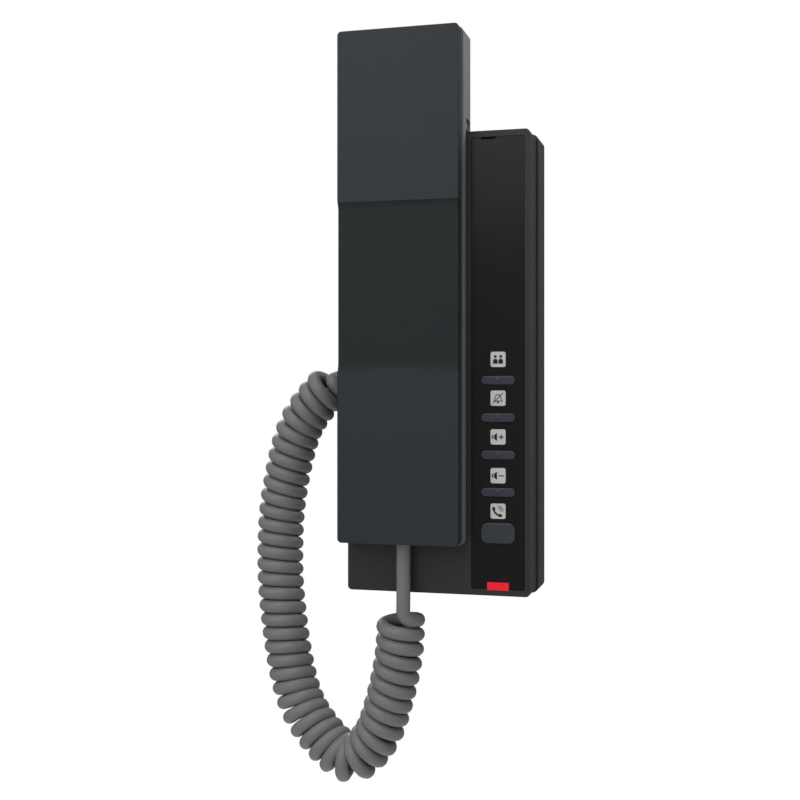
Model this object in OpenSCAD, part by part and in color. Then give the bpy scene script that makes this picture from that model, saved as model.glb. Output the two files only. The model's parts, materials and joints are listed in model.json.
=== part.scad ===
// Wall-mounted door-entry audio station: a slim base with a key panel, and a slab handset on a curly cord.
// Millimetres. X runs to the viewer's right, +Z is up, the wall is the plane Y = 0 and the front faces -Y.
// The origin is the middle of the wall screw pattern, on the wall.

/* [Base] */
// Width of the front cover
base_w = 80; // [70:0.5:100]
// Height of the front cover
base_h = 197; // [180:1:240]
// Depth of the base, from the wall to its front
base_d = 35.5; // [33:0.5:45]
// Depth of the front cover
cover_d = 17.5; // [16:0.5:20]
// How far the rear housing stands out past the front cover, on each side
housing_lip = 0.85; // [0.4:0.05:1.5]
// Corner radius of the front cover
base_r = 1.8; // [1:0.1:4]
// Wall of the two covers
wall = 2; // [1.6:0.1:2.4]
// Thickness of the front of the front cover
front_t = 3.6; // [3:0.1:4.2]

/* [Panel and keys] */
// Width of the gloss panel
panel_w = 22.9; // [21:0.1:25]
// Thickness of the gloss panel
panel_t = 1.6; // [1.2:0.1:2]
// Border of the front cover to the right of the panel
panel_side = 2.15; // [1.5:0.05:3]
// Border of the front cover above and below the panel
panel_end = 2.7; // [2:0.1:3.5]
// How far the panel lies below the front of the base
panel_sink = 0.4; // [0.2:0.1:0.8]
// Width of a key
key_w = 14.9; // [12:0.1:16]
// Height of a slim key
key_h = 3.7; // [3:0.1:4.5]
// Height of the talk key
talk_h = 8.7; // [7:0.1:9.5]
// Corner radius of the talk key
talk_r = 3; // [1.9:0.1:3.4]
// How far a key stands out of the panel
key_proud = 0.7; // [0.4:0.1:1]
// Travel of a key
key_travel = 1; // [0.6:0.1:1.2]
// Spacing of the four slim keys
key_pitch = 15.8; // [14:0.1:19]
// Side of an icon window
icon_size = 6.5; // [5:0.1:7]
// Corner radius of an icon window
icon_r = 0.9; // [0.4:0.1:1.5]
// Width of the alarm lens
lens_w = 9.2; // [7:0.1:11]
// Height of the alarm lens
lens_h = 3.3; // [2.6:0.1:3.6]

/* [Handset] */
// Width of the handset's front plates
handset_w = 53; // [48:0.5:54]
// Length of the handset
handset_h = 218; // [200:1:225]
// How far the handset's top stands above the base's top
handset_rise = 42.9; // [40:0.1:60]
// How far the handset stands out past the base's left side
handset_side = 0.7; // [0:0.1:2]
// Thickness of the handset's slab
slab_d = 12.7; // [12:0.1:15]
// Depth of the ear end that rests on the base's top
ear_d = 22; // [20:0.5:24]
// Thickness of a front plate
plate_t = 3; // [2.6:0.1:3.4]
// How far the grip plate lies behind the other two
grip_sink = 1; // [0.6:0.1:1.4]
// Height of the upper front plate
upper_h = 73; // [66:0.5:76]
// Height of the lower front plate
lower_h = 73; // [66:0.5:76]
// Corner radius of the handset
handset_r = 1.8; // [1:0.1:2.6]
// Groove between the front plates and the frame
groove = 1; // [0.8:0.1:1.2]
// Depth of the handset's side frame
frame_d = 3.5; // [3:0.1:4]

/* [Wall bracket] */
// Thickness of the steel bracket
bracket_t = 1.5; // [1.2:0.1:2]
// Width of the bracket
bracket_w = 66; // [60:1:68]
// Height of the bracket
bracket_h = 186; // [172:1:186]
// Spacing of the four wall screws, across
wall_hole_x = 46; // [40:1:50]
// Spacing of the four wall screws, upright
wall_hole_z = 140; // [136:1:146]
// Spacing of the two screws of a round flush box
box_hole_z = 60; // [60:0.5:62]
// Diameter of the screw holes in the bracket
wall_hole_d = 4.5; // [3.6:0.1:5]

/* [Cord] */
// Diameter of the cord
cord_d = 6; // [5:0.1:6.2]
// Outer diameter of the curly part
coil_d = 21.3; // [19:0.1:23]

/* [Hidden] */
$fn = 40;
eps = 0.01;
gap = 0.2;      // clearance of a piece in its opening
body_gap = 0.3; // clearance between pieces that move apart

// Planes of the base, from the wall forward
y_front = -base_d;
y_step = y_front + cover_d;
recess = 4.5;                       // hollow behind the rear housing's back plate
y_back_plate = -recess;
y_floor = y_back_plate - wall;
y_inside = y_front + front_t;
base_top = base_h / 2;
base_bottom = -base_h / 2;
housing_w = base_w + 2 * housing_lip;
housing_h = base_h + 2 * housing_lip;
housing_r = base_r + housing_lip;

// Panel, keys and icons
panel_h = base_h - 2 * panel_end;
panel_x = base_w / 2 - panel_side - panel_w / 2;
panel_r = 1.2;
panel_ledge = 1.7;                  // what the panel rests on along each side
notch_x = -7.3;                     // pull notch in the panel's top edge, from the panel's middle
notch_w = 6.2;
notch_h = 0.9;
y_panel = y_front + panel_sink;
y_panel_back = y_panel + panel_t;
talk_up = 26.5;                     // middle of the talk key above the base's lower edge
talk_step = 17.3;                   // from the talk key up to the lowest slim key
talk_icon_rise = 9.3;               // from the talk key up to its icon window
icon_rise = 8.8;                    // from the highest key up to its icon window
icon_creep = 0.6;                   // each lower icon window is this much nearer its key
lens_up = wall + 2;                 // alarm lens centre above the base's lower edge
key_z = [for (i = [0 : 4]) base_bottom + talk_up + (i < 4 ? talk_step + (3 - i) * key_pitch : 0)];
icon_z = [for (i = [0 : 4]) key_z[i] + (i < 4 ? icon_rise - i * icon_creep : talk_icon_rise)];
lens_z = base_bottom + lens_up;
key_heights = [key_h, key_h, key_h, key_h, talk_h];
key_radii = [key_h / 2, key_h / 2, key_h / 2, key_h / 2, talk_r];
flange = 1;                         // thickness of the collar that keeps a key behind the panel
collar_x = 1;                       // how far the collar stands out at the sides of a key
collar_z = 0.7;                     // and above and below it
icon_proud = 0.1;
stem_w = 6;
stem_h = 2;
key_window_low = key_z[4] - talk_h / 2 - 2.4;
key_window_high = icon_z[0] + icon_size / 2 + 1.5;
y_flange = y_panel_back + gap;
y_flange_back = y_flange + flange;
y_mat = y_flange_back + key_travel + 0.7;
mat_t = 0.8;
y_stem_end = y_mat + mat_t + 0.8;
switch_size = 6;
switch_t = 3.4;
button_t = 0.5;
y_switch_top = y_stem_end + key_travel + 0.1;
y_key_board = y_switch_top + button_t + switch_t;
board_t = 1.6;
key_board_w = 20;
key_board_low = base_bottom + wall + 0.5;
key_board_high = icon_z[0] + 13.6;
peg_x = 6;
peg_d = 3;
peg_tip_d = 1.8;
peg_z = [key_z[4] - 13, key_board_high - 4];

// Light behind the alarm lens
led_w = 3.2;
led_h = 1.6;
led_t = 1.4;
lens_flange_w = lens_w + 2;
lens_flange_h = lens_h + 0.2;
light_guide_w = 6;
light_guide_h = 2.4;

// Ringer
ringer_z = 20;                      // middle of the ringer and of its sound holes
ringer_d = 36;
ringer_magnet_d = 18;
ringer_t = 7;
sound_hole_d = 2;
sound_pitch = 5;

// Screws that join the two covers
cover_screw_x = [-base_w / 2 + 7, 8];
cover_screw_z = base_h / 2 - 8.5;
post_d = 7;
screw_d = 2.9;
screw_hole_d = 3.2;
y_post = y_floor - 5.6;
cover_head_d = 5.6;
cover_head_t = 1.8;
cover_bite = 8;                     // thread of a cover screw in its post

// Main board and what stands on it
main_w = 64;
main_h = 96;
main_x = -3;
y_main = y_floor - 1.5;
y_main_front = y_main - board_t;
board_screw_x = 27;
board_screw_z = 43;
board_post_d = 5;
board_head_d = 4.4;
board_head_t = 1.6;
board_screw_d = 1.9;
cable_w = 30;
cable_h = 24;
cable_r = 4;
jack_y = y_step + 4.8;              // the cord's socket lies in the joint of the two covers
jack_z = -6;
jack_size = 10;
jack_long = 14;
plug_w = 7.65;
plug_t = 6.6;
plug_in = 12;
boot_d = 7.4;
boot_end = -46;

// Bracket
tab_w = 8;
tab_x = 20;
tab_z = 58;
tab_rise = 4;
lock_y = (y_back_plate + gap - bracket_t) / 2;
lock_d = 2;
lock_head_d = 3.4;
lock_head_t = 1.2;
flange_w = 8;
bracket_r = 4;
hook_gap = 0.5;                     // room round a hook in its slot

// Handset
handset_x = -base_w / 2 - handset_side + handset_w / 2;
handset_top = base_top + handset_rise;
handset_bottom = handset_top - handset_h;
handset_z = (handset_top + handset_bottom) / 2;
slab_gap = 0.6;                     // between the slab's back and the base's front
rest_gap = 0.3;                     // between the ear end and the base's top
shell_lip = 0.4;
y_slab_back = y_front - slab_gap;
y_handset = y_slab_back - slab_d;
y_plate_back = y_handset + plate_t;
y_frame = y_plate_back + groove;
y_split = y_frame + frame_d;
y_frame_inside = y_frame + 1.2;
y_ear_back = y_handset + ear_d;
grip_t = plate_t - grip_sink + 0.8;
neck = 1.5;                         // how far the dark neck behind the plates is set in
ear_low = base_top + rest_gap;
ear_h = handset_top + shell_lip - ear_low;
ear_z = ear_low + ear_h / 2;
lug_z = base_top - 38;
lug_w = 16;
lug_h = 6;
lug_d = 2.8;
magnet_z = base_top - 22;
reed_d = 2.2;
reed_long = 14;
ear_hole_d = 1.8;
receiver_d = 33;
receiver_t = 9;
handset_screw_z = [base_top - 10, handset_bottom + 11];
boss_d = 5.4;
handset_screw_d = 2.1;
handset_head_d = 4.6;
shell_wall = wall + gap;            // side wall of the rear shell
frame_wall = shell_wall - shell_lip; // how far the frame's rear spigot is set in
mic_d = 6;
mic_t = 2.6;
mic_skin = 0.7;                     // rubber between the microphone and the shell
boot_wall = 1.2;
magnet_d = 8;
magnet_t = 3;
weight_w = 32;
ring_t = 0.8;
weight_low = handset_bottom + 46;
weight_high = lug_z - 22;
mic_x = handset_x + 11;
mic_z = handset_bottom + 15;

// Cord, which keeps the points given here: down from the handset, round in a hanging loop, and up
// beside the base to its socket
bush_d = 7.4;
bush_long = 9;
cord_exit = [handset_x + 0.7, y_split + 0.5, handset_bottom];
cord_sides = 12;
coil_steps = 2;                     // rings of the curly part for each knot
handset_tail_route = [[-13.5, -40.8, -76.9], [-13.5, -40.8, -91], [-13.5, -41, -105]];
coil_knots = [
    [-16.5, -33.5, -105], [-17.5, -33, -125], [-22, -32, -146], [-29, -31, -164], [-42, -29, -174],
    [-61, -24, -160], [-71, -20, -141], [-77.5, -17, -107], [-79, -15, -80], [-77, -14, -56],
    [-69, -14, -27], [-52, -14, -6]
];
base_tail_route = [
    [-52, -14, -6], [-50, -13.6, -5.4], [boot_end - 1, jack_y, jack_z], [boot_end, jack_y, jack_z]
];

// ---- shared shapes ----

// A rectangle with round corners, in the plane of its extrusion; a slim key's ends are half circles
module rounded(w, h, r) {
    square([w - 2 * r, h], center = true);
    if (h > 2 * r + eps) square([w, h - 2 * r], center = true);
    for (x = [-1, 1], z = [-1, 1])
        translate([x * (w / 2 - r), z * (h / 2 - r)]) circle(r = r);
}

// A round-cornered plate that faces the front: centre x and z, and the two planes it lies between
module plate(w, h, r, y0, y1, x = 0, z = 0) {
    translate([x, y1, z]) rotate([90, 0, 0]) linear_extrude(height = y1 - y0) rounded(w, h, r);
}

// A block from its two corners
module block(a, b) {
    translate(a) cube(b - a);
}

// A round pin or hole along Y
module along_y(d, y0, y1, x, z) {
    translate([x, y1, z]) rotate([90, 0, 0]) cylinder(d = d, h = y1 - y0);
}

// Vector helpers for the swept cord
function unit(v) = v / norm(v);
function heading(route, i) =
    unit(route[min(i + 1, len(route) - 1)] - route[max(i - 1, 0)]);
function square_to(t) = unit(cross(t, abs(t[1]) < 0.9 ? [0, 1, 0] : [1, 0, 0]));

// A smooth curve through knots, with a number of steps from each knot to the next
function between(knots, i, t) =
    let (a = knots[max(i - 1, 0)], b = knots[i], c = knots[i + 1], d = knots[min(i + 2, len(knots) - 1)])
    b + t / 2 * (c - a + t * (2 * a - 5 * b + 4 * c - d + t * (3 * b - 3 * c + d - a)));
function smooth(knots, steps) = concat(
    [for (i = [0 : len(knots) - 2], s = [0 : steps - 1]) between(knots, i, s / steps)],
    [knots[len(knots) - 1]]
);

// A round tube swept along a route, with one ring at each point
module tube(route, d, sides) {
    n = len(route);
    points = [
        for (i = [0 : n - 1])
            let (t = heading(route, i), u = square_to(t), v = cross(t, u))
            for (k = [0 : sides - 1])
                let (a = 360 * k / sides)
                route[i] + d / 2 * (cos(a) * u + sin(a) * v)
    ];
    sides_faces = [
        for (i = [0 : n - 2], k = [0 : sides - 1])
            [i * sides + k, i * sides + (k + 1) % sides,
             (i + 1) * sides + (k + 1) % sides, (i + 1) * sides + k]
    ];
    start_face = [[for (k = [sides - 1 : -1 : 0]) k]];
    end_face = [[for (k = [0 : sides - 1]) (n - 1) * sides + k]];
    polyhedron(points = points, faces = concat(sides_faces, start_face, end_face));
}

// ---- wall side ----

module wall_bracket() {
    color("silver") {
        difference() {
            plate(bracket_w, bracket_h, bracket_r, -bracket_t, 0);
            plate(cable_w, cable_h, cable_r, -bracket_t - 1, 1);
            for (x = [-1, 1], z = [-1, 1])
                along_y(wall_hole_d, -bracket_t - 1, 1, x * wall_hole_x / 2, z * wall_hole_z / 2);
            for (z = [-1, 1])
                along_y(wall_hole_d, -bracket_t - 1, 1, 0, z * box_hole_z / 2);
        }
        // hooks that the rear housing hangs on
        for (x = [-1, 1], z = [-1, 1]) {
            low = z * tab_z;
            side = x * tab_x - tab_w / 2;
            block([side, y_floor - gap - bracket_t, low], [side + tab_w, -bracket_t + eps, low + bracket_t]);
            block([side, y_floor - gap - bracket_t, low],
                  [side + tab_w, y_floor - gap, low + bracket_t + tab_rise]);
        }
        // lower flange for the locking screw
        difference() {
            block([-flange_w / 2, y_back_plate + gap, -bracket_h / 2],
                  [flange_w / 2, -bracket_t + eps, -bracket_h / 2 + bracket_t]);
            translate([0, lock_y, -bracket_h / 2 - 1]) cylinder(d = lock_d + 0.1, h = bracket_t + 2);
        }
    }
}

module lock_screw() {
    z0 = base_bottom - housing_lip;
    color("silver") {
        translate([0, lock_y, z0 + 0.2]) cylinder(d = lock_head_d, h = lock_head_t);
        translate([0, lock_y, z0 + 0.4]) cylinder(d = lock_d, h = -bracket_h / 2 + 4 - z0);
    }
}

module rear_housing() {
    color([0.2, 0.2, 0.21]) difference() {
        union() {
            difference() {
                plate(housing_w, housing_h, housing_r, y_step, 0);
                plate(housing_w - 2 * wall, housing_h - 2 * wall, 0.8, y_step - 1, y_floor);
                plate(housing_w - 2 * wall, housing_h - 2 * wall, 0.8, y_back_plate, 1);
            }
            for (x = cover_screw_x, z = [-1, 1])
                along_y(post_d, y_post, y_floor + eps, x, z * cover_screw_z);
            for (x = [-1, 1], z = [-1, 1])
                along_y(board_post_d, y_main, y_floor + eps, main_x + x * board_screw_x, z * board_screw_z);
        }
        for (x = cover_screw_x, z = [-1, 1])
            along_y(screw_hole_d, y_post - 1, 1, x, z * cover_screw_z);
        for (x = [-1, 1], z = [-1, 1])
            along_y(board_screw_d + 0.1, y_main - 1, y_floor + 1, main_x + x * board_screw_x,
                    z * board_screw_z);
        // way in for the cable, slots for the hooks, and the socket of the cord
        plate(cable_w, cable_h, cable_r, y_floor - 1, y_back_plate + 1);
        for (x = [-1, 1], z = [-1, 1])
            block([x * tab_x - tab_w / 2 - hook_gap, y_floor - 1, z * tab_z - hook_gap],
                  [x * tab_x + tab_w / 2 + hook_gap, y_back_plate + 1,
                   z * tab_z + bracket_t + tab_rise + hook_gap]);
        block([-housing_w / 2 - 1, jack_y - plug_t / 2 - body_gap, jack_z - plug_w / 2 - body_gap],
              [-housing_w / 2 + wall + 1, jack_y + plug_t / 2 + body_gap, jack_z + plug_w / 2 + body_gap]);
        translate([0, lock_y, base_bottom - housing_lip - 1]) {
            cylinder(d = lock_d + 0.4, h = wall + 2);
            cylinder(d = lock_head_d + 0.1, h = 1 + lock_head_t + gap);
        }
    }
}

module cover_screws() {
    color("silver") for (x = cover_screw_x, z = [-1, 1]) {
        along_y(cover_head_d, y_back_plate, y_back_plate + cover_head_t, x, z * cover_screw_z);
        along_y(screw_d, y_post - cover_bite, y_back_plate + eps, x, z * cover_screw_z);
    }
}

// ---- front cover ----

module front_cover() {
    spigot_w = housing_w - 2 * wall - 2 * gap;
    spigot_h = housing_h - 2 * wall - 2 * gap;
    spigot_t = 1;
    root = 3;                       // how far the spigot is rooted in the cover
    reach = 2.5;                    // how far it reaches into the rear housing
    color([0.22, 0.22, 0.23]) difference() {
        union() {
            difference() {
                union() {
                    plate(base_w, base_h, base_r, y_front, y_step);
                    plate(spigot_w, spigot_h, 0.7, y_step - root, y_step + reach);
                }
                plate(base_w - 2 * wall, base_h - 2 * wall, 0.6, y_inside, y_step - root);
                plate(spigot_w - 2 * spigot_t, spigot_h - 2 * spigot_t, 0.6, y_step - root - eps,
                      y_step + reach + 1);
            }
            for (x = cover_screw_x, z = [-1, 1])
                along_y(post_d, y_inside - eps, y_post - 0.1, x, z * cover_screw_z);
            for (x = [-1, 1], z = peg_z)
                along_y(peg_d, y_inside - eps, y_key_board, panel_x + x * peg_x, z);
            for (x = [-1, 1], z = peg_z)
                along_y(peg_tip_d, y_inside - eps, y_key_board + board_t + 0.6, panel_x + x * peg_x, z);
            // lug that the handset hangs over
            plate(lug_w, lug_h, 1.2, y_front - lug_d, y_front + eps, handset_x, lug_z);
        }
        for (x = cover_screw_x, z = [-1, 1])
            along_y(screw_d + 0.1, y_post - cover_bite - 1, y_post + 1, x, z * cover_screw_z);
        // seat of the panel, the window behind the keys, and the pocket behind the panel's pull notch
        plate(panel_w + gap, panel_h + gap, panel_r, y_front - 1, y_panel_back, panel_x);
        block([panel_x - panel_w / 2 + panel_ledge, y_front - 1, key_window_low],
              [panel_x + panel_w / 2 - panel_ledge, y_inside + 1, key_window_high]);
        block([panel_x + notch_x, y_front - 1, panel_h / 2 - notch_h],
              [panel_x + notch_x + notch_w, y_panel_back + 0.8, panel_h / 2]);
        // alarm lens
        block([panel_x - lens_w / 2 - gap / 2, y_front - 1, lens_z - lens_h / 2 - gap / 2],
              [panel_x + lens_w / 2 + gap / 2, y_inside + 1, lens_z + lens_h / 2 + gap / 2]);
        // room for the cord's socket in the joint of the two covers
        block([-base_w / 2 + wall / 2, jack_y - jack_size / 2 - gap, jack_z - jack_size / 2 - gap],
              [-base_w / 2 + 2 * wall, y_step + reach + 1, jack_z + jack_size / 2 + gap]);
        // sound holes of the ringer, behind the handset
        for (x = [-2 : 2], z = [-2 : 2])
            if (x * x + z * z < 6)
                along_y(sound_hole_d, y_front - 1, y_inside + 1,
                        handset_x + sound_pitch * x, ringer_z + sound_pitch * z);
    }
}

module ringer_speaker() {
    color([0.15, 0.15, 0.16]) {
        along_y(ringer_d, y_inside, y_inside + 3, handset_x, ringer_z);
        along_y(ringer_magnet_d, y_inside + 3 - eps, y_inside + ringer_t, handset_x, ringer_z);
    }
}

module hook_sensor() {
    color([0.1, 0.3, 0.15]) {
        plate(18, 6, 0.8, y_inside, y_inside + 1.2, handset_x, magnet_z);
        translate([handset_x - reed_long / 2, y_inside + 1.2 + reed_d / 2 - 0.2, magnet_z])
            rotate([0, 90, 0]) cylinder(d = reed_d, h = reed_long);
    }
}

// ---- boards inside the base ----

module main_board() {
    color([0.05, 0.3, 0.14]) difference() {
        plate(main_w, main_h, 1, y_main_front, y_main, main_x);
        plate(cable_w + 6, cable_h + 4, cable_r, y_main_front - 1, y_main + 1);
        for (x = [-1, 1], z = [-1, 1])
            along_y(2.6, y_main_front - 1, y_main + 1, main_x + x * board_screw_x, z * board_screw_z);
        block([-base_w, y_main_front - 1, jack_z - jack_size / 2 - 1],
              [-housing_w / 2 + wall + jack_long + 2, y_main + 1, jack_z + jack_size / 2 + 1]);
    }
}

module board_screws() {
    color("silver") for (x = [-1, 1], z = [-1, 1]) {
        along_y(board_head_d, y_main_front - board_head_t, y_main_front,
                main_x + x * board_screw_x, z * board_screw_z);
        along_y(board_screw_d, y_main_front - eps, y_floor + 0.8,
                main_x + x * board_screw_x, z * board_screw_z);
    }
}

module terminal_block() {
    pitch = 5;
    poles = 5;
    deep = 10;
    high = 8;
    long = poles * pitch;
    z0 = -40;
    x0 = -long / 2;
    color([0.1, 0.35, 0.2]) difference() {
        block([x0, y_main_front - deep, z0], [x0 + long, y_main_front, z0 + high]);
        for (i = [0 : poles - 1]) {
            x = x0 + pitch * (i + 0.5);
            along_y(3, y_main_front - deep - 1, y_main_front - 6, x, z0 + 2.5);
            block([x - 1.6, y_main_front - 5, z0 + 3], [x + 1.6, y_main_front - 1.5, z0 + high + 1]);
        }
    }
}

module board_capacitors() {
    color([0.1, 0.1, 0.3]) for (x = [-22, -12, 18])
        along_y(x > 0 ? 8 : 6.3, y_main_front - 9, y_main_front, x, 32);
}

module modular_jack() {
    x0 = -housing_w / 2 + wall + 0.1;
    color([0.12, 0.12, 0.12]) difference() {
        block([x0, jack_y - jack_size / 2, jack_z - jack_size / 2],
              [x0 + jack_long, jack_y + jack_size / 2, jack_z + jack_size / 2]);
        block([x0 - 1, jack_y - plug_t / 2 - gap, jack_z - plug_w / 2 - gap],
              [x0 + plug_in, jack_y + plug_t / 2 + gap, jack_z + plug_w / 2 + gap]);
    }
}

module key_board() {
    color([0.05, 0.3, 0.14]) difference() {
        block([panel_x - key_board_w / 2, y_key_board, key_board_low],
              [panel_x + key_board_w / 2, y_key_board + board_t, key_board_high]);
        for (x = [-1, 1], z = peg_z)
            along_y(peg_tip_d + gap, y_key_board - 1, y_key_board + board_t + 1, panel_x + x * peg_x, z);
    }
}

module tact_switches() {
    half = switch_size / 2;
    color([0.2, 0.2, 0.2]) for (z = key_z) {
        block([panel_x - half, y_switch_top + button_t, z - half], [panel_x + half, y_key_board, z + half]);
        along_y(3.4, y_switch_top, y_switch_top + button_t + eps, panel_x, z);
    }
}

// Silicone sheet on two side walls, with a hole and a collar for each key's stem
module key_mat() {
    low = key_z[4] - talk_h / 2 - 2;
    high = key_z[0] + key_h / 2 + 2;
    half_w = panel_w / 2 - panel_ledge - 0.4;
    color([0.35, 0.35, 0.36]) difference() {
        union() {
            block([panel_x - half_w, y_mat, low], [panel_x + half_w, y_mat + mat_t, high]);
            for (z = key_z)
                plate(stem_w + 2.4, stem_h + 2.4, 1, y_mat - 0.4, y_mat + eps, panel_x, z);
            for (x = [-1, 1])
                translate([panel_x + x * (half_w - 0.5) - 0.5, y_mat, low])
                    cube([1, y_key_board - y_mat, high - low]);
        }
        for (z = key_z)
            plate(stem_w + 0.8, stem_h + 0.8, 0.4, y_mat - 1, y_mat + 2, panel_x, z);
    }
}

module ribbon_cable() {
    z0 = -main_h / 2 + 10;
    color([0.75, 0.75, 0.72])
        block([18, y_key_board + board_t, z0], [28, y_main_front, z0 + 0.8]);
}

module alarm_led() {
    color([0.9, 0.9, 0.85])
        block([panel_x - led_w / 2, y_key_board - led_t, lens_z - led_h / 2],
              [panel_x + led_w / 2, y_key_board, lens_z + led_h / 2]);
}

// ---- panel, icon windows and keys ----

module front_panel() {
    color([0.05, 0.05, 0.05]) difference() {
        plate(panel_w, panel_h, panel_r, y_panel, y_panel_back, panel_x);
        for (z = icon_z)
            plate(icon_size + gap / 2, icon_size + gap / 2, icon_r, y_panel - 1, y_panel_back + 1,
                  panel_x, z);
        for (i = [0 : 4])
            plate(key_w + 2 * gap, key_heights[i] + 2 * gap, key_radii[i] + gap,
                  y_panel - 1, y_panel_back + 1, panel_x, key_z[i]);
        block([panel_x - lens_w / 2 - gap / 2, y_panel - 1, lens_z - lens_h],
              [panel_x + lens_w / 2 + gap / 2, y_panel_back + 1, lens_z + lens_h / 2 + gap / 2]);
        block([panel_x + notch_x, y_panel - 1, panel_h / 2 - notch_h],
              [panel_x + notch_x + notch_w, y_panel_back + 1, panel_h / 2 + 1]);
    }
}

module alarm_lens() {
    color([0.85, 0.08, 0.15]) {
        block([panel_x - lens_w / 2, y_front - 0.1, lens_z - lens_h / 2],
              [panel_x + lens_w / 2, y_inside + eps, lens_z + lens_h / 2]);
        block([panel_x - lens_flange_w / 2, y_inside, lens_z - lens_flange_h / 2],
              [panel_x + lens_flange_w / 2, y_inside + 1, lens_z + lens_flange_h / 2]);
        block([panel_x - light_guide_w / 2, y_inside + 1 - eps, lens_z - light_guide_h / 2],
              [panel_x + light_guide_w / 2, y_key_board - led_t - body_gap, lens_z + light_guide_h / 2]);
    }
}

module icon_window(i) {
    color([0.7, 0.7, 0.7])
        plate(icon_size, icon_size, icon_r, y_panel - icon_proud, y_panel_back, panel_x, icon_z[i]);
}

module key(i) {
    w = key_w;
    h = key_heights[i];
    r = key_radii[i];
    color([0.23, 0.24, 0.28]) {
        plate(w, h, r, y_panel - key_proud, y_flange_back, panel_x, key_z[i]);
        plate(w + 2 * collar_x, h + 2 * collar_z, r + collar_z, y_flange, y_flange_back, panel_x, key_z[i]);
        plate(stem_w, stem_h, 0.3, y_flange_back - eps, y_stem_end, panel_x, key_z[i]);
    }
}

// ---- handset ----

// A front plate with round corners at its outer end, and square ones where it meets the grip plate
module end_plate(h, z, corner_z) {
    plate(handset_w, h, handset_r, y_handset, y_plate_back, handset_x, z);
    block([handset_x - handset_w / 2, y_handset, corner_z - handset_r],
          [handset_x + handset_w / 2, y_plate_back, corner_z + handset_r]);
}

module upper_plate() {
    seam_z = handset_top - upper_h;
    color([0.25, 0.27, 0.29])
        end_plate(upper_h, handset_top - upper_h / 2, seam_z + handset_r);
}

module lower_plate() {
    seam_z = handset_bottom + lower_h;
    color([0.23, 0.25, 0.27])
        end_plate(lower_h, handset_bottom + lower_h / 2, seam_z - handset_r);
}

module grip_plate() {
    low = handset_bottom + lower_h + 0.05;
    high = handset_top - upper_h - 0.05;
    color([0.18, 0.19, 0.2])
        block([handset_x - handset_w / 2, y_handset + grip_sink, low],
              [handset_x + handset_w / 2, y_handset + grip_sink + grip_t, high]);
}

module handset_frame() {
    inner = 2 * frame_wall;
    y_grip_back = y_handset + grip_sink + grip_t;
    color([0.16, 0.16, 0.17]) difference() {
        union() {
            plate(handset_w - 2 * neck, handset_h - 2 * neck, 1, y_plate_back, y_frame + eps,
                  handset_x, handset_z);
            plate(handset_w, handset_h, handset_r, y_frame, y_split, handset_x, handset_z);
            plate(handset_w - inner - 2 * gap, handset_h - inner - 2 * gap, 0.8, y_split - 1.5, y_split + 1.2,
                  handset_x, handset_z);
        }
        difference() {
            plate(handset_w - inner - 2, handset_h - inner - 2, 0.6, y_frame_inside, y_split + 2,
                  handset_x, handset_z);
            for (z = handset_screw_z)
                along_y(boss_d, y_frame_inside - 1, y_split + 1, handset_x, z);
        }
        // seat of the grip plate, which reaches further back than the other two
        block([handset_x - handset_w, y_plate_back - 1, handset_bottom + lower_h],
              [handset_x + handset_w, y_grip_back, handset_top - upper_h]);
        translate([cord_exit[0], cord_exit[1], handset_bottom - 1]) cylinder(d = bush_d + 0.1, h = bush_long);
        for (z = handset_screw_z)
            along_y(handset_screw_d + 0.1, y_frame + 0.4, y_split + 3, handset_x, z);
    }
}

module handset_rear() {
    w = handset_w + 2 * shell_lip;
    h = handset_h + 2 * shell_lip;
    color([0.42, 0.42, 0.43]) difference() {
        union() {
            difference() {
                union() {
                    plate(w, h, handset_r + shell_lip, y_split, y_slab_back, handset_x, handset_z);
                    plate(w, ear_h, handset_r + shell_lip, y_split, y_ear_back, handset_x, ear_z);
                }
                plate(w - 2 * shell_wall, h - 2 * shell_wall, 0.8, y_split - 1, y_slab_back - wall,
                      handset_x, handset_z);
                plate(w - 2 * shell_wall, ear_h - 2 * wall, 0.8, y_split, y_ear_back - wall,
                      handset_x, ear_z);
            }
            for (z = handset_screw_z)
                along_y(boss_d, y_split + 1.3, y_slab_back, handset_x, z);
        }
        // window that drops over the base's lug, with room below for the way in
        block([handset_x - lug_w / 2 - 0.5, y_slab_back - wall - 1, lug_z - lug_h / 2 - lug_d - 1.5],
              [handset_x + lug_w / 2 + 0.5, y_slab_back + 1, lug_z + lug_h / 2 + 0.5]);
        // rings of sound holes over the receiver, and the hole of the microphone
        for (ring = [0 : 2], k = [0 : max(6 * ring - 1, 0)])
            along_y(ear_hole_d, y_ear_back - wall - 1, y_ear_back + 1,
                    handset_x + 4 * ring * cos(60 * k / max(ring, 1)),
                    ear_z + 4 * ring * sin(60 * k / max(ring, 1)));
        along_y(1.6, y_slab_back - wall - 1, y_slab_back + 1, mic_x, mic_z);
        // pull notch at the right of the ear end
        block([handset_x + w / 2 - 0.9, y_ear_back - 8.5, ear_low + 2],
              [handset_x + w, y_ear_back - 1, ear_low + 5.5]);
        for (z = handset_screw_z) {
            along_y(handset_head_d + body_gap, y_slab_back - 1.5, y_slab_back + 1, handset_x, z);
            along_y(handset_screw_d + body_gap, y_split, y_slab_back + 1, handset_x, z);
        }
        translate([cord_exit[0], cord_exit[1], handset_bottom - 1]) cylinder(d = bush_d + 0.1, h = bush_long);
    }
}

module handset_screws() {
    color("silver") for (z = handset_screw_z) {
        along_y(handset_head_d, y_slab_back - 1.5, y_slab_back - 0.2, handset_x, z);
        along_y(handset_screw_d, y_frame + 0.6, y_slab_back - 1, handset_x, z);
    }
}

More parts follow.
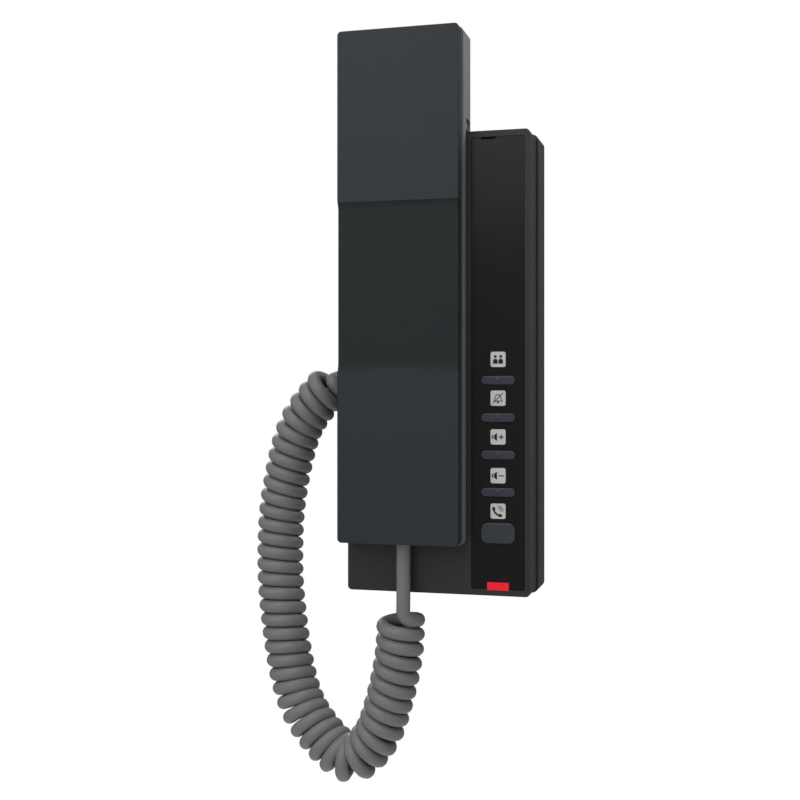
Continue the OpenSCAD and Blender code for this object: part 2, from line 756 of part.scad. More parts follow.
module ear_receiver() {
    y1 = y_ear_back - wall - ring_t;
    color([0.2, 0.2, 0.2]) {
        along_y(receiver_d, y1 - 3, y1, handset_x, ear_z);
        along_y(receiver_d - 12, y1 - receiver_t, y1 - 3 + eps, handset_x, ear_z);
    }
}

module receiver_ring() {
    color([0.1, 0.1, 0.1]) difference() {
        along_y(receiver_d, y_ear_back - wall - ring_t, y_ear_back - wall, handset_x, ear_z);
        along_y(receiver_d - 9, y_ear_back - wall - 2, y_ear_back, handset_x, ear_z);
    }
}

module microphone() {
    color("silver") along_y(mic_d, y_slab_back - wall - mic_skin - mic_t, y_slab_back - wall - mic_skin,
                            mic_x, mic_z);
}

module mic_boot() {
    y1 = y_slab_back - wall;
    color([0.1, 0.1, 0.1]) difference() {
        along_y(mic_d + 2 * boot_wall, y1 - mic_skin - mic_t, y1, mic_x, mic_z);
        along_y(mic_d, y1 - mic_skin - mic_t - 1, y1 - mic_skin, mic_x, mic_z);
        along_y(2, y1 - mic_skin - 1, y1 + 1, mic_x, mic_z);
    }
}

module weight_bar() {
    color("silver")
        plate(weight_w, weight_high - weight_low, 2, y_frame_inside + 0.2, y_slab_back - wall - 0.6,
              handset_x, (weight_low + weight_high) / 2);
}

module hook_magnet() {
    color("silver") along_y(magnet_d, y_slab_back - wall - magnet_t, y_slab_back - wall, handset_x, magnet_z);
}

module handset_board() {
    z0 = handset_bottom + 24;
    y1 = y_slab_back - wall - 1;
    y0 = y1 - 1.2;
    color([0.05, 0.3, 0.14]) {
        block([handset_x - 14, y0, z0], [handset_x + 14, y1, z0 + 16]);
        block([handset_x - 9, y0 - 2, z0 + 4], [handset_x + 1, y0 + eps, z0 + 10]);
    }
}

module cord_bush() {
    color([0.12, 0.12, 0.13]) difference() {
        translate([cord_exit[0], cord_exit[1], cord_exit[2]]) cylinder(d = bush_d, h = bush_long - 1.2);
        translate([cord_exit[0], cord_exit[1], cord_exit[2] + 2]) cylinder(d = cord_d - 2, h = bush_long);
    }
}

// ---- cord ----

module handset_cord_tail() {
    color([0.3, 0.3, 0.31]) tube(handset_tail_route, cord_d, cord_sides);
}

module curly_cord() {
    color([0.3, 0.3, 0.31]) tube(smooth(coil_knots, coil_steps), coil_d, cord_sides);
}

module base_cord_tail() {
    color([0.3, 0.3, 0.31]) tube(base_tail_route, cord_d, cord_sides);
}

module cord_plug() {
    tip = -housing_w / 2 + wall + plug_in - 0.4;
    color([0.1, 0.1, 0.1]) {
        block([-housing_w / 2 - 1, jack_y - plug_t / 2, jack_z - plug_w / 2],
              [tip, jack_y + plug_t / 2, jack_z + plug_w / 2]);
        translate([boot_end, jack_y, jack_z]) rotate([0, 90, 0])
            cylinder(d = boot_d, h = -housing_w / 2 - 1 - boot_end + eps);
    }
}

wall_bracket();
lock_screw();
rear_housing();
front_cover();
cover_screws();
main_board();
board_screws();
terminal_block();
board_capacitors();
modular_jack();
ringer_speaker();
hook_sensor();
key_board();
tact_switches();
key_mat();
ribbon_cable();
front_panel();
alarm_lens();
alarm_led();
icon_window(0);  // window_people
icon_window(1);  // window_bell_off
icon_window(2);  // window_volume_up
icon_window(3);  // window_volume_down
icon_window(4);  // window_talk
key(0);  // key_people
key(1);  // key_bell_off
key(2);  // key_volume_up
key(3);  // key_volume_down
key(4);  // key_talk
upper_plate();
grip_plate();
lower_plate();
handset_frame();
handset_rear();
ear_receiver();
receiver_ring();
microphone();
mic_boot();
weight_bar();
hook_magnet();
handset_board();
handset_screws();
cord_bush();
handset_cord_tail();
curly_cord();
base_cord_tail();
cord_plug();
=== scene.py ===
# %% [markdown]
# # A door entry station with a handset on a curly cord
# The object is a slim wall base and a slab handset. The engineering model is loaded first, as a frame.
# Every visible piece takes its place from that frame, so nothing has to be fitted by hand.

# %% Load the frame
import json
import math

import bmesh
import bpy
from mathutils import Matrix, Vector


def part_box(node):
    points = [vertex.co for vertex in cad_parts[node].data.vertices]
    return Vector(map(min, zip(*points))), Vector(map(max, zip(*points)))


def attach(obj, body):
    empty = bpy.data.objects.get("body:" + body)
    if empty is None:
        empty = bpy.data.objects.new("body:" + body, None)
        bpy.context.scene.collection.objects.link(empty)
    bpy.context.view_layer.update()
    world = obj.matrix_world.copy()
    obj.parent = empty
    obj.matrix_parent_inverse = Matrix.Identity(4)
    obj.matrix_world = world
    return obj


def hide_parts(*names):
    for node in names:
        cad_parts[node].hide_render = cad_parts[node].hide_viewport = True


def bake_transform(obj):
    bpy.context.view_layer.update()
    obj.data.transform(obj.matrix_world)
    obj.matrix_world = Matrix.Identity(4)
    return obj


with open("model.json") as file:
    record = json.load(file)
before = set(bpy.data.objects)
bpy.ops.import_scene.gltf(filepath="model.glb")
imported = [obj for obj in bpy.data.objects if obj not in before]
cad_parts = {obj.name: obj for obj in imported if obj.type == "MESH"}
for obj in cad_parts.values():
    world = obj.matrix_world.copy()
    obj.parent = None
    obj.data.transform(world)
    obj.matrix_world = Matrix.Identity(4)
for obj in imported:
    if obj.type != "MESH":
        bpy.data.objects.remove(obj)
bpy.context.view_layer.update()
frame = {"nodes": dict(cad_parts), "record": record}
MM = 0.001

# %% [markdown]
# ## Camera
# The station is seen from its right and level with its middle. A level camera keeps upright edges
# upright. The small shift lowers the picture a little without tilting the camera.

# %% Camera
camera_data = bpy.data.cameras.new("camera")
LENS, SENSOR, LOWER = 55.5, 36, -0.0179
CAMERA_PLACE = (0.12285, -0.5494, -0.0096)
LEVEL, TURNED = math.radians(90), math.radians(15.167)
camera_data.lens = LENS
camera_data.sensor_width = SENSOR
camera_data.shift_y = LOWER
camera = bpy.data.objects.new("camera", camera_data)
camera.location = CAMERA_PLACE
camera.rotation_euler = (LEVEL, 0, TURNED)
bpy.context.collection.objects.link(camera)
bpy.context.scene.camera = camera
print("camera stands", round(camera.location.length, 3), "m from the middle of the bracket")

# %% [markdown]
# ## Materials
# Moulded plastic is never perfectly even. A fine noise moves the surface's normal for the grain of the
# mould, and a broad noise changes its roughness a little, so that reflections don't look painted on.
# Colour, metal and shine are plain numbers on the shader, because they are the same all over a piece.


# %% A finish with grain
BROAD_SCALE = 40
GRAIN_DEPTH = 0.0001
SMOOTHEST = 0.02


def finish(name, colour, rough, grain=0.1, grain_size=900, metal=0.0, spread=0.06, shine=0.3, glow=0.0):
    """A plain finish: base colour, roughness around one value, and a fine grain."""
    material = bpy.data.materials.new(name)
    material.use_nodes = True
    nodes, links = material.node_tree.nodes, material.node_tree.links
    shader = nodes["Principled BSDF"]
    shader.inputs["Base Color"].default_value = (*colour, 1)
    shader.inputs["Metallic"].default_value = metal
    shader.inputs["Specular IOR Level"].default_value = shine
    shader.inputs["Emission Color"].default_value = (*colour, 1)
    shader.inputs["Emission Strength"].default_value = glow
    place = nodes.new("ShaderNodeTexCoord")
    broad = nodes.new("ShaderNodeTexNoise")
    broad.inputs["Scale"].default_value = BROAD_SCALE
    levels = nodes.new("ShaderNodeMapRange")
    levels.inputs["To Min"].default_value = max(rough - spread, SMOOTHEST)
    levels.inputs["To Max"].default_value = rough + spread
    fine = nodes.new("ShaderNodeTexNoise")
    fine.inputs["Scale"].default_value = grain_size
    bump = nodes.new("ShaderNodeBump")
    bump.inputs["Strength"].default_value = grain
    bump.inputs["Distance"].default_value = GRAIN_DEPTH
    links.new(place.outputs["Object"], broad.inputs["Vector"])
    links.new(place.outputs["Object"], fine.inputs["Vector"])
    links.new(broad.outputs["Fac"], levels.inputs["Value"])
    links.new(levels.outputs["Result"], shader.inputs["Roughness"])
    links.new(fine.outputs["Fac"], bump.inputs["Height"])
    links.new(bump.outputs["Normal"], shader.inputs["Normal"])
    return material


# %% The finishes of this object
FINISHES = {
    "base_plastic": finish("base plastic", (0.032, 0.032, 0.032), 0.42, 0.3, 1500, shine=0.25),
    "handset_paint": finish("handset paint", (0.024, 0.030, 0.035), 0.42, 0.1, 1200, shine=0.26),
    "grip_texture": finish("grip texture", (0.015, 0.019, 0.021), 0.5, 0.7, 2200, shine=0.22),
    "frame_plastic": finish("frame plastic", (0.055, 0.055, 0.056), 0.45, 0.3, 1500),
    "shell_plastic": finish("shell plastic", (0.20, 0.20, 0.202), 0.42, 0.3, 1500),
    "gloss_panel": finish("gloss panel", (0.0055, 0.0055, 0.0055), 0.2, 0.02, 300, spread=0.03, shine=0.2),
    "icon_window": finish("icon window", (0.62, 0.62, 0.62), 0.35, 0.05),
    "icon_ink": finish("icon ink", (0.006, 0.006, 0.006), 0.5, 0.05),
    "key_plastic": finish("key plastic", (0.034, 0.041, 0.053), 0.3, 0.08, 1500, shine=0.35),
    "red_lens": finish("red lens", (0.70, 0.006, 0.018), 0.15, 0.03, shine=0.4, glow=0.35),
    "led_body": finish("LED body", (0.75, 0.75, 0.68), 0.2, 0.02),
    "circuit_board": finish("circuit board", (0.010, 0.09, 0.035), 0.3, 0.15, 1800),
    "terminal_plastic": finish("terminal plastic", (0.03, 0.14, 0.06), 0.4, 0.1),
    "capacitor_sleeve": finish("capacitor sleeve", (0.012, 0.014, 0.05), 0.25, 0.05),
    "black_nylon": finish("black nylon", (0.006, 0.006, 0.006), 0.4, 0.25, 1500),
    "silicone_mat": finish("silicone mat", (0.05, 0.05, 0.053), 0.7, 0.2),
    "ribbon_plastic": finish("ribbon plastic", (0.5, 0.48, 0.43), 0.4, 0.1),
    "foam_ring": finish("foam ring", (0.008, 0.008, 0.008), 0.9, 1.0, 1400),
    "cord_rubber": finish("cord rubber", (0.19, 0.195, 0.20), 0.45, 0.15, 1400, shine=0.35),
    "zinc_steel": finish("zinc steel", (0.55, 0.56, 0.58), 0.35, 0.25, 500, metal=1.0),
    "screw_steel": finish("screw steel", (0.5, 0.51, 0.53), 0.28, 0.1, 700, metal=1.0),
}
for part in frame["record"]["subparts"]:
    node = frame["nodes"][part["node"]]
    node.data.materials.clear()
    node.data.materials.append(FINISHES[part["material_slot"]])

# %% [markdown]
# ## The cord
# The cord hangs from the handset in a loop and climbs beside the base to its socket. It is one wire.
# The middle part is wound round a spine that follows the loop. The spine is a smooth curve through a few
# chosen knots, so moving one knot moves the loop and the turns follow.

# %% The spine
CORD_D = 6.0 * MM
COIL_D = 21.3 * MM
HANDSET_TAIL = [(-13.5, -40.8, -76.9), (-13.5, -40.8, -91), (-13.5, -41, -105)]
COIL_KNOTS = [
    (-16.5, -33.5, -105), (-17.5, -33, -125), (-22, -32, -146), (-29, -31, -164), (-42, -29, -174),
    (-61, -24, -160), (-71, -20, -141), (-77.5, -17, -107), (-79, -15, -80), (-77, -14, -56),
    (-69, -14, -27), (-52, -14, -6),
]
BASE_TAIL = [(-52, -14, -6), (-50, -13.6, -5.4), (-47, -13.2, -6), (-46, -13.2, -6)]


def smooth(knots, steps):
    """Points of a smooth curve through knots, in metres."""
    knots = [Vector(k) * MM for k in knots]
    points = []
    for i in range(len(knots) - 1):
        a, b = knots[max(i - 1, 0)], knots[i]
        c, d = knots[i + 1], knots[min(i + 2, len(knots) - 1)]
        for s in range(steps):
            t = s / steps
            points.append(b + t / 2 * (c - a + t * (2 * a - 5 * b + 4 * c - d + t * (3 * b - 3 * c + d - a))))
    return points + [knots[-1]]


def evenly(points, count):
    """The same line with count points at equal distances along it, and its length."""
    far = [0.0]
    for a, b in zip(points, points[1:]):
        far.append(far[-1] + (b - a).length)
    line, i = [], 0
    for n in range(count):
        want = far[-1] * n / (count - 1)
        while i < len(far) - 2 and far[i + 1] < want:
            i += 1
        line.append(points[i].lerp(points[i + 1], (want - far[i]) / (far[i + 1] - far[i])))
    return line, far[-1]


# %% [markdown]
# ## The turns of the cord
# A screw modifier could make the turns, but not round a bent spine. So the wire is walked in small steps.
# A wire that leaves a straight stretch can't turn at once: it starts along the spine and bends over a few
# millimetres until it lies flat enough for the pitch. At the far end the turns shrink onto the spine.

# %% The winding
PITCH = 6.1 * MM
BEND = 4.5 * MM
SHRINK = 0.9 * PITCH
START = math.radians(-68)
WIRE_STEP = 2.0 * MM
KNOT_STEPS, SPINE_POINTS = 24, 600
spine, spine_long = evenly(smooth(COIL_KNOTS, KNOT_STEPS), SPINE_POINTS)
ahead = [
    (spine[min(n + 1, SPINE_POINTS - 1)] - spine[max(n - 1, 0)]).normalized()
    for n in range(SPINE_POINTS)
]
side = [(Vector((1, 0, 0)) - ahead[0] * ahead[0].x).normalized()]
for direction in ahead[1:]:
    side.append((side[-1] - direction * side[-1].dot(direction)).normalized())


def wind():
    """Points of the wire, walked step by step. It is straight at first and bends into even turns."""
    radius, flat = (COIL_D - CORD_D) / 2, math.atan2(math.pi * (COIL_D - CORD_D), PITCH)
    points, along, gone, turn = [], 0.0, 0.0, -START
    while along < spine_long:
        n = min(int(along / spine_long * (SPINE_POINTS - 1) + 0.5), SPINE_POINTS - 1)
        left = min(1, (spine_long - along) / SHRINK)
        grow = left * left * (3 - 2 * left)
        offset = math.cos(turn) * side[n] + math.sin(turn) * ahead[n].cross(side[n])
        past = along - n * spine_long / (SPINE_POINTS - 1)
        points.append(spine[n] + ahead[n] * past + offset * radius * grow)
        slope = min(flat, gone / BEND)
        step = WIRE_STEP / 2 if slope < flat else WIRE_STEP
        along += math.cos(slope) * step
        turn -= math.sin(slope) * step / radius
        gone += step
    return points


# %% The whole wire, without points that nearly coincide
TAIL_IN_STEPS, TAIL_OUT_STEPS = 8, 6
CLOSEST = 0.9 * MM
coil = wind()
tail_in = smooth(HANDSET_TAIL, TAIL_IN_STEPS)
tail_out = smooth(BASE_TAIL, TAIL_OUT_STEPS)
cord_path = [tail_in[0]]
for point in tail_in[1:-2] + coil[1:] + tail_out[1:]:
    if (point - cord_path[-1]).length > CLOSEST:
        cord_path.append(point)
cord_path[-1] = tail_out[-1]
print("spine", round(spine_long, 3), "m, turns", round(spine_long / PITCH, 1))


# %% [markdown]
# ## A tube
# The wire could be a curve with a bevel, but a mesh made ring by ring shows how a tube is skinned, and its
# rings never twist, because each one carries on from the one before.


# %% From a mesh under construction to an object
def finished(name, mesh, material, sharp=30):
    """Turns a mesh under construction into an object with its material and smooth shading."""
    bmesh.ops.recalc_face_normals(mesh, faces=mesh.faces)
    data = bpy.data.meshes.new(name)
    mesh.to_mesh(data)
    mesh.free()
    data.materials.append(material)
    data.shade_smooth()
    data.set_sharp_from_angle(angle=math.radians(sharp))
    piece = bpy.data.objects.new(name, data)
    bpy.context.collection.objects.link(piece)
    return piece


# %% A tube along a path
CORD_SIDES = 14
TUBE_SHARP = 60


def tube(name, path, diameter, sides, material):
    """A closed round tube that follows path, with a frame that is carried along without twisting."""
    mesh = bmesh.new()
    rings, across = [], Vector((0, 1, 0))
    for n, point in enumerate(path):
        ahead = (path[min(n + 1, len(path) - 1)] - path[max(n - 1, 0)]).normalized()
        across = (across - ahead * across.dot(ahead)).normalized()
        up = ahead.cross(across)
        rings.append([
            mesh.verts.new(point + diameter / 2 * (math.cos(a) * across + math.sin(a) * up))
            for a in (2 * math.pi * k / sides for k in range(sides))
        ])
    for low, high in zip(rings, rings[1:]):
        for k in range(sides):
            mesh.faces.new((low[k], low[(k + 1) % sides], high[(k + 1) % sides], high[k]))
    mesh.faces.new(rings[0][::-1])
    mesh.faces.new(rings[-1])
    return finished(name, mesh, material, TUBE_SHARP)


# %% The cord
cord = tube("curly_handset_cord", cord_path, CORD_D, CORD_SIDES, FINISHES["cord_rubber"])
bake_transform(cord)
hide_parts("handset_cord_tail", "curly_cord", "base_cord_tail")
print("cord mesh has", len(cord.data.vertices), "points")

# %% [markdown]
# ## Rounded slabs
# Most of the casing is flat slabs with rounded corners and softened edges. One helper draws a rounded
# rectangle at several depths and joins them, and each edge gets a quarter round of its own radius.


# %% A slab with softened edges
def outline(low_x, high_x, low_z, high_z, low_r, high_r, arc=10):
    """A rounded rectangle as (x, z) points, with one radius for its lower corners and one for its upper."""
    corners = [
        (high_x, high_z, high_r, 0), (low_x, high_z, high_r, 1),
        (low_x, low_z, low_r, 2), (high_x, low_z, low_r, 3),
    ]
    points = []
    for x, z, r, quarter in corners:
        in_x, in_z = (-r if quarter in (0, 3) else r), (-r if quarter in (0, 1) else r)
        for k in range(arc + 1):
            a = math.pi / 2 * (quarter + k / arc)
            points.append((x + in_x + r * math.cos(a), z + in_z + r * math.sin(a)))
    return points


def even(piece):
    """Lets large faces stay flat next to narrow rounded edges, by weighting the normals with area."""
    weigh = piece.modifiers.new("even normals", "WEIGHTED_NORMAL")
    weigh.keep_sharp = True
    return piece


def join(loops, mesh):
    """Skins between neighbouring loops of points and closes both ends."""
    for a, b in zip(loops, loops[1:]):
        for k in range(len(a)):
            mesh.faces.new((a[k], a[(k + 1) % len(a)], b[(k + 1) % len(a)], b[k]))
    mesh.faces.new(loops[0])
    mesh.faces.new(loops[-1])


LEAST_R = 0.02 * MM
SLAB_SHARP = 25
WELD = 0.001 * MM


def slab(name, node, slot, radii, front=0.3, back=0.1, seams=(), steps=5, body="base"):
    """Replaces a CAD plate with one whose front and back edges are quarter rounds, in millimetres.

    radii are those of the lower and the upper corners. An end in seams keeps a sharp edge.
    """
    low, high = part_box(node)
    front, back = front * MM, back * MM
    quarter = [math.pi / 2 * k / steps for k in range(steps + 1)]
    profile = [(low[1] + front * (1 - math.sin(a)), front * (1 - math.cos(a))) for a in quarter][::-1]
    profile += [(high[1] - back * (1 - math.sin(a)), back * (1 - math.cos(a))) for a in quarter]
    mesh = bmesh.new()
    loops = []
    for y, inset in profile:
        at_low = 0 if "low" in seams else inset
        at_high = 0 if "high" in seams else inset
        r_low, r_high = (max(r * MM - inset, LEAST_R) for r in radii)
        loops.append([mesh.verts.new((x, y, z)) for x, z in outline(
            low[0] + inset, high[0] - inset, low[2] + at_low, high[2] - at_high, r_low, r_high)])
    join(loops, mesh)
    bmesh.ops.remove_doubles(mesh, verts=mesh.verts, dist=WELD)
    piece = even(finished(name, mesh, FINISHES[slot], SLAB_SHARP))
    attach(piece, body)
    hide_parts(node)


# %% [markdown]
# ## Handset
# The face is three separate plates. The upper and lower ones are satin and catch a thin light line on
# their bevel. The middle one lies a little further back, is darker and has a finer grain and softer edges.
# At the two seams the plates meet with sharp edges, so the ends named in seams get no bevel, and the middle
# plate rises over its last few millimetres to meet the other two.

# %% Front plates of the handset
SEAM_R, HANDSET_R, PLATE_EDGE = 0.02, 1.8, 0.4
slab("upper_front_plate", "upper_plate", "handset_paint", (SEAM_R, HANDSET_R), front=PLATE_EDGE,
     seams=("low",), body="handset")
slab("lower_front_plate", "lower_plate", "handset_paint", (HANDSET_R, SEAM_R), front=PLATE_EDGE,
     seams=("high",), body="handset")
print("upper and lower plates made")


# %% Grip plate of the handset
RAMP, RISE, GRIP_EDGE, GRIP_STEPS = 3 * MM, 0.85 * MM, 0.9 * MM, 6


def grip_face():
    """The middle plate, whose front ramps forward to meet the other two plates at the seams."""
    low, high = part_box("grip_plate")
    mesh = bmesh.new()
    loops = []
    for z, forward in ((low[2], RISE), (low[2] + RAMP, 0), (high[2] - RAMP, 0), (high[2], RISE)):
        front = low[1] - forward
        points = [(low[0], high[1]), (high[0], high[1])]
        for x, way in ((high[0], 1), (low[0], -1)):
            turns = [math.pi / 2 * k / GRIP_STEPS for k in range(GRIP_STEPS + 1)]
            for a in turns if way == 1 else turns[::-1]:
                in_x, in_y = GRIP_EDGE * (1 - math.cos(a)), GRIP_EDGE * (1 - math.sin(a))
                points.append((x - way * in_x, front + in_y))
        loops.append([mesh.verts.new((x, y, z)) for x, y in points])
    join(loops, mesh)
    piece = even(finished("grip_face", mesh, FINISHES["grip_texture"], SLAB_SHARP))
    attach(piece, "handset")
    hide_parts("grip_plate")


grip_face()
print("grip plate made")

# %% [markdown]
# ## Casings
# The covers have holes, posts and lugs that the engineering model already holds. Their shape is right
# as it stands, so they stay, and a bevel modifier breaks their sharp edges as a mould does.


# %% Soften the casings that stay
BEVEL_FROM = math.radians(40)
BEVEL_SEGMENTS = 3


def soften(node, width):
    """Breaks the sharp edges of a CAD node with a narrow bevel."""
    piece = frame["nodes"][node]
    bevel = piece.modifiers.new("broken edges", "BEVEL")
    bevel.width = width * MM
    bevel.segments = BEVEL_SEGMENTS
    bevel.limit_method = "ANGLE"
    bevel.angle_limit = BEVEL_FROM
    bevel.harden_normals = True


CASING_EDGES = {"front_cover": 0.12, "rear_housing": 0.35, "handset_frame": 0.25, "handset_rear": 0.5}
for node, width in CASING_EDGES.items():
    soften(node, width)
print("casings softened:", len(CASING_EDGES))

# %% [markdown]
# ## Keys
# Each key is a small cushion with rounded edges. The four slim ones have half-round ends and a low pip in
# the middle, so that a finger finds them. Behind the panel a key has a wider collar that keeps it in, and
# a stem for its switch.


# %% A pip on a key
PIP_R, PIP_H = 1.2 * MM, 0.35 * MM
PIP_RINGS, PIP_SIDES = 6, 24


def pip(mesh, x, y, z):
    """A low dome on the face of a key, sunk a little into it."""
    rings = []
    for k in range(1, PIP_RINGS + 2):
        a = math.pi / 2 * min(k / PIP_RINGS, 1)
        r = PIP_R * math.sin(a)
        depth = PIP_H if k > PIP_RINGS else -PIP_H * math.cos(a)
        rings.append([
            mesh.verts.new((x + r * math.cos(b), y + depth, z + r * math.sin(b)))
            for b in (2 * math.pi * n / PIP_SIDES for n in range(PIP_SIDES))
        ])
    join(rings, mesh)


# %% The five keys
KEYS = {"people": "slim", "bell_off": "slim", "volume_up": "slim", "volume_down": "slim", "talk": "large"}
COLLAR_X, COLLAR_Z, COLLAR_T = 1.0 * MM, 0.7 * MM, 1.0 * MM
COLLAR_PLAY = 0.2 * MM
STEM_W, STEM_H, STEM_R = 6 * MM, 2 * MM, 0.3 * MM
KEY_EDGE, EDGE_STEPS = 0.5 * MM, 7
TALK_R, SHORT_OF_HALF = 3 * MM, 0.01 * MM
CORNER_STEPS = 14
KEY_SHARP = 40
KEY_WELD = 0.0001 * MM
collar_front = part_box("front_panel")[1][1] + COLLAR_PLAY


def key_ring(mesh, x, z, half_w, half_h, r, y):
    """One loop of points of a key, at one depth."""
    return [mesh.verts.new((px, y, pz)) for px, pz in outline(
        x - half_w, x + half_w, z - half_h, z + half_h, r, r, CORNER_STEPS)]


for key, kind in KEYS.items():
    low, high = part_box("key_" + key)
    x, z = (low[0] + high[0]) / 2, (low[2] + high[2]) / 2
    out_w, out_h = (high[0] - low[0]) / 2, (high[2] - low[2]) / 2
    wide, tall = out_w - COLLAR_X, out_h - COLLAR_Z
    r = tall - SHORT_OF_HALF if kind == "slim" else TALK_R
    mesh = bmesh.new()
    loops = []
    for k in range(EDGE_STEPS + 1):
        a = math.pi / 2 * k / EDGE_STEPS
        inset = KEY_EDGE * (1 - math.sin(a))
        y = low[1] + KEY_EDGE * (1 - math.cos(a))
        loops.append(key_ring(mesh, x, z, wide - inset, tall - inset, r - inset, y))
    loops.append(key_ring(mesh, x, z, wide, tall, r, collar_front))
    for y in (collar_front, collar_front + COLLAR_T):
        loops.append(key_ring(mesh, x, z, out_w, out_h, r + COLLAR_Z, y))
    for y in (collar_front + COLLAR_T, high[1]):
        loops.append(key_ring(mesh, x, z, STEM_W / 2, STEM_H / 2, STEM_R, y))
    join(loops, mesh)
    bmesh.ops.remove_doubles(mesh, verts=mesh.verts, dist=KEY_WELD)
    if kind == "slim":
        pip(mesh, x, low[1], z)
    cap = even(finished("cap_" + key, mesh, FINISHES["key_plastic"], KEY_SHARP))
    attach(cap, key + "_key")
    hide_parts("key_" + key)
print("key caps made:", len(KEYS))

# %% [markdown]
# ## Icon windows
# Above each key is a light window with a printed sign. The signs are plain drawings made from bars,
# discs and arcs: two people, a crossed bell, a loudspeaker with plus or minus, and a handset with waves.
# Each sign is one thin layer of ink that stands a few hundredths of a millimetre proud of its window.


# %% Shapes that a sign is drawn with
DISC_STEPS, ARC_STEPS = 28, 8


def polygon(points):
    """An outline as it is given."""
    return [points]


def disc(x, z, r, start=0, end=360):
    """A disc, or a segment of one."""
    angles = [math.radians(start + (end - start) * k / DISC_STEPS) for k in range(DISC_STEPS + 1)]
    return [[(x + r * math.cos(a), z + r * math.sin(a)) for a in angles]]


def bar(x0, z0, x1, z1, w):
    """A straight stroke between two points."""
    along = Vector((x1 - x0, z1 - z0)).normalized() * w / 2
    across = Vector((-along.y, along.x))
    a, b = Vector((x0, z0)) - along, Vector((x1, z1)) + along
    return [[tuple(a + across), tuple(a - across), tuple(b - across), tuple(b + across)]]


def arc(x, z, r, start, end, w):
    """A curved stroke, made from short straight ones."""
    strokes = []
    for k in range(ARC_STEPS):
        a, b = (math.radians(start + (end - start) * (k + n) / ARC_STEPS) for n in (0, 1))
        strokes += bar(x + r * math.cos(a), z + r * math.sin(a), x + r * math.cos(b), z + r * math.sin(b), w)
    return strokes


# %% The five signs
def person(x):
    """A head above rounded shoulders."""
    return disc(x, 1.25, 0.62) + disc(x, -0.7, 1.0, 0, 180) + polygon(
        [(x - 1, -0.7), (x - 1, -1.8), (x + 1, -1.8), (x + 1, -0.7)])


STROKE, BOLD = 0.34, 0.5
SPEAKER = polygon([(-2.6, -0.75), (-2.0, -0.75), (-2.0, 0.75), (-2.6, 0.75)]) + polygon(
    [(-1.7, -0.8), (-0.4, -1.7), (-0.4, 1.7), (-1.7, 0.8)])
SIGNS = {
    "people": person(-1.15) + person(1.15),
    "bell_off": arc(0, 0.4, 1.1, 0, 180, STROKE)
    + bar(-1.1, 0.4, -1.7, -1.2, STROKE) + bar(1.1, 0.4, 1.7, -1.2, STROKE)
    + bar(-1.8, -1.2, 1.8, -1.2, STROKE) + disc(0, -1.75, 0.42) + bar(-2.1, -2.1, 2.1, 2.2, STROKE),
    "volume_up": SPEAKER + bar(0.6, 0, 2.2, 0, BOLD) + bar(1.4, -0.8, 1.4, 0.8, BOLD),
    "volume_down": SPEAKER + bar(0.6, 0, 2.2, 0, BOLD),
    "talk": arc(1.4, 1.4, 3.3, 178, 272, 0.75) + disc(-1.8, 0.9, 0.7) + disc(0.9, -1.8, 0.7)
    + arc(0.1, 0.1, 1.1, 0, 90, STROKE) + arc(0.1, 0.1, 2.0, 0, 90, STROKE),
}

# %% Windows and signs
PANE_R, PANE_FRONT, PANE_BACK = 0.9, 0.15, 0.05
INK_PROUD, INK_LAYER = 0.02, 0.001
for sign, shapes in SIGNS.items():
    slab("pane_" + sign, "window_" + sign, "icon_window", (PANE_R, PANE_R), front=PANE_FRONT, back=PANE_BACK)
    low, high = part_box("window_" + sign)
    x, z = (low[0] + high[0]) / 2, (low[2] + high[2]) / 2
    mesh = bmesh.new()
    for k, shape in enumerate(shapes):
        y = low[1] - (INK_PROUD + INK_LAYER * k) * MM
        mesh.faces.new([mesh.verts.new((x + px * MM, y, z + pz * MM)) for px, pz in shape])
    ink = finished("sign_" + sign, mesh, FINISHES["icon_ink"])
    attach(ink, "base")
print("signs printed:", len(SIGNS))

# %% [markdown]
# ## Gloss panel, alarm lens and plug
# The panel keeps its engineering shape, with openings for the windows and keys, and gets a very narrow
# bevel. The lens is a red bar with soft edges, whose finish glows a little. The cord's plug is softened too.

# %% Panel, lens and plug
soften("front_panel", 0.12)
soften("alarm_lens", 0.3)
soften("cord_plug", 0.35)
print("panel, lens and plug softened")

# %% [markdown]
# ## Floor and light
# Such a station hangs at hand height, so the floor is 1.4 m below it. The surroundings are white where the
# camera sees them and dimmer as a light, because a white room would wash out the dark plastic. The room is
# darkest behind, so that the sides stay deep. Soft lights stand at the front left, at the right, above and
# behind, and one below the object looks down and keeps the floor pale.

# %% Floor and surroundings
FLOOR_RADIUS, FLOOR_SIDES = 3.4, 96
HANG_HEIGHT = 1.4
floor_mesh = bmesh.new()
bmesh.ops.create_circle(floor_mesh, cap_ends=True, segments=FLOOR_SIDES, radius=FLOOR_RADIUS)
floor = finished("floor", floor_mesh, finish("floor", (0.9, 0.9, 0.9), 0.8, 0.0, 50))
floor.location.z = -HANG_HEIGHT
print("floor", 2 * FLOOR_RADIUS, "m across")

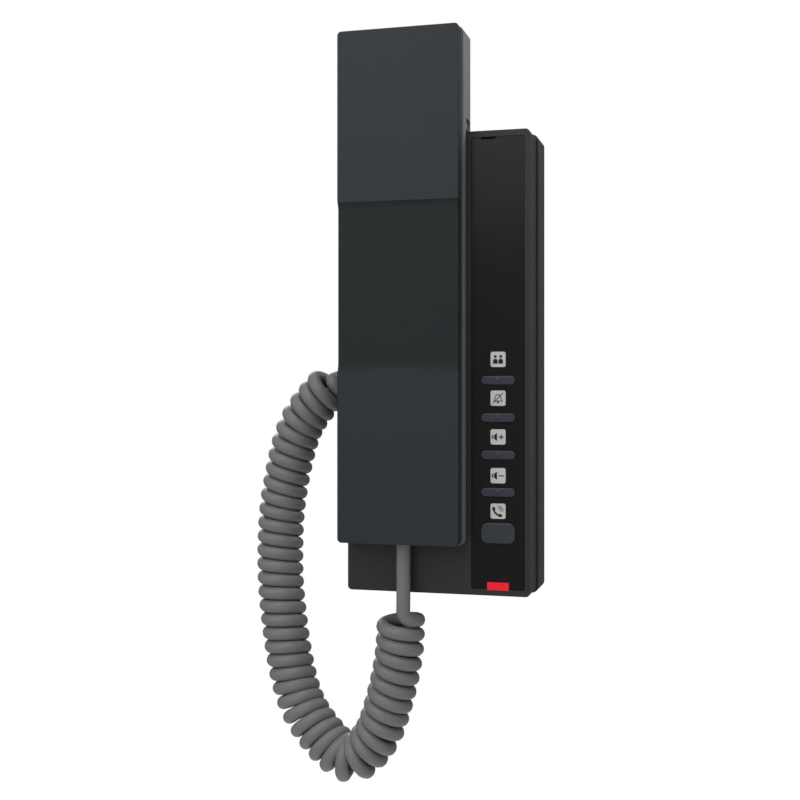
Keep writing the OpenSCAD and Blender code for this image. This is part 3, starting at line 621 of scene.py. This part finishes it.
# %% The room, white to the camera and dimmer as a light
WHITE = (1, 1, 1, 1)
LIGHT_IN_FRONT, LIGHT_BEHIND = 0.52, 0.12
world = bpy.data.worlds.new("studio")
world.use_nodes = True
bpy.context.scene.world = world
studio = world.node_tree
dim, out = studio.nodes["Background"], studio.nodes["World Output"]
white = studio.nodes.new("ShaderNodeBackground")
white.inputs["Color"].default_value = WHITE
place = studio.nodes.new("ShaderNodeTexCoord")
parts = studio.nodes.new("ShaderNodeSeparateXYZ")
level = studio.nodes.new("ShaderNodeMapRange")
level.inputs["From Min"].default_value = -1
level.inputs["To Min"].default_value = LIGHT_IN_FRONT
level.inputs["To Max"].default_value = LIGHT_BEHIND
sight = studio.nodes.new("ShaderNodeLightPath")
choose = studio.nodes.new("ShaderNodeMixShader")
dim.inputs["Color"].default_value = WHITE
studio.links.new(place.outputs["Generated"], parts.inputs["Vector"])
studio.links.new(parts.outputs["Y"], level.inputs["Value"])
studio.links.new(level.outputs["Result"], dim.inputs["Strength"])
studio.links.new(sight.outputs["Is Camera Ray"], choose.inputs["Fac"])
studio.links.new(dim.outputs["Background"], choose.inputs[1])
studio.links.new(white.outputs["Background"], choose.inputs[2])
studio.links.new(choose.outputs["Shader"], out.inputs["Surface"])
bpy.context.scene.view_settings.view_transform = "Standard"
print("room light", LIGHT_IN_FRONT, "in front and", LIGHT_BEHIND, "behind")


# %% Lights
def soft_light(name, place, size, power):
    """A square soft light that faces the middle of the object."""
    data = bpy.data.lights.new(name, "AREA")
    data.size = size
    data.energy = power
    light = bpy.data.objects.new(name, data)
    light.location = place
    light.rotation_euler = (-Vector(place)).to_track_quat("-Z", "Y").to_euler()
    bpy.context.collection.objects.link(light)
    return light


front_light = soft_light("front light", (-0.5, -1.1, 0.75), 1.1, 6)
side_light = soft_light("side light", (0.4, 0.25, 0.5), 0.3, 2.5)
back_light = soft_light("back light", (-0.6, 1.0, 0.5), 0.6, 5)
top_light = soft_light("top light", (0.2, -0.3, 1.5), 1.0, 12)
floor_light = soft_light("floor light", (0, 0, -0.4), 2.0, 10)
floor_light.rotation_euler = (0, 0, 0)
print("five lights set")
